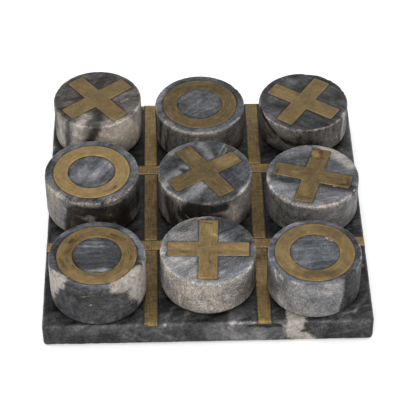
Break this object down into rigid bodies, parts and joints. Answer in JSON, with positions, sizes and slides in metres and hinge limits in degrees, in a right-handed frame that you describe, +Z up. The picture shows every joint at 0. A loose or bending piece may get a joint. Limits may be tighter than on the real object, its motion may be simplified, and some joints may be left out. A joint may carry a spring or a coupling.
{
  "type": "tic tac toe set",
  "caption": "Square stone board with an inlaid brass grid, and thick round stone playing pieces with an inlaid brass cross or ring.",
  "frame": {"origin": "centre of the board's outline, on the surface that the rubber feet stand on", "axes": "+Z up through the board; +Y from the player's side to the far side; +X to the player's right"},
  "size_m": [0.2037, 0.2086, 0.0494],
  "materials": {
    "marble": "honed, dark grey with lighter clouds and veins",
    "brass": "antiqued and brushed, with darker tarnish",
    "resin": "matt dark epoxy",
    "rubber": "matt black"
  },
  "bodies": {
    "board": {"board_slab": "marble", "grid_resin": "resin", "grid_strip_back": "brass", "grid_strip_front": "brass", "grid_strip_left_back": "brass", "grid_strip_left_front": "brass", "grid_strip_left_middle": "brass", "grid_strip_right_back": "brass", "grid_strip_right_front": "brass", "grid_strip_right_middle": "brass", "rubber_foot_back_left": "rubber", "rubber_foot_back_right": "rubber", "rubber_foot_front_left": "rubber", "rubber_foot_front_right": "rubber"},
    "cross_1": {"cross_1_brass_mark": "brass", "cross_1_resin_bed": "resin", "cross_1_stone": "marble"},
    "cross_2": {"cross_2_brass_mark": "brass", "cross_2_resin_bed": "resin", "cross_2_stone": "marble"},
    "cross_3": {"cross_3_brass_mark": "brass", "cross_3_resin_bed": "resin", "cross_3_stone": "marble"},
    "cross_4": {"cross_4_brass_mark": "brass", "cross_4_resin_bed": "resin", "cross_4_stone": "marble"},
    "cross_5": {"cross_5_brass_mark": "brass", "cross_5_resin_bed": "resin", "cross_5_stone": "marble"},
    "ring_1": {"ring_1_brass_mark": "brass", "ring_1_resin_bed": "resin", "ring_1_stone": "marble"},
    "ring_2": {"ring_2_brass_mark": "brass", "ring_2_resin_bed": "resin", "ring_2_stone": "marble"},
    "ring_3": {"ring_3_brass_mark": "brass", "ring_3_resin_bed": "resin", "ring_3_stone": "marble"},
    "ring_4": {"ring_4_brass_mark": "brass", "ring_4_resin_bed": "resin", "ring_4_stone": "marble"}
  },
  "joints": [
    {"name": "cross_1_lift", "type": "slide", "parent": "board", "child": "cross_1", "axis": [0, 0, 1], "range_m": [0, 0.06]},
    {"name": "cross_2_lift", "type": "slide", "parent": "board", "child": "cross_2", "axis": [0, 0, 1], "range_m": [0, 0.06]},
    {"name": "cross_3_lift", "type": "slide", "parent": "board", "child": "cross_3", "axis": [0, 0, 1], "range_m": [0, 0.06]},
    {"name": "cross_4_lift", "type": "slide", "parent": "board", "child": "cross_4", "axis": [0, 0, 1], "range_m": [0, 0.06]},
    {"name": "cross_5_lift", "type": "slide", "parent": "board", "child": "cross_5", "axis": [0, 0, 1], "range_m": [0, 0.06]},
    {"name": "ring_1_lift", "type": "slide", "parent": "board", "child": "ring_1", "axis": [0, 0, 1], "range_m": [0, 0.06]},
    {"name": "ring_2_lift", "type": "slide", "parent": "board", "child": "ring_2", "axis": [0, 0, 1], "range_m": [0, 0.06]},
    {"name": "ring_3_lift", "type": "slide", "parent": "board", "child": "ring_3", "axis": [0, 0, 1], "range_m": [0, 0.06]},
    {"name": "ring_4_lift", "type": "slide", "parent": "board", "child": "ring_4", "axis": [0, 0, 1], "range_m": [0, 0.06]}
  ]
}
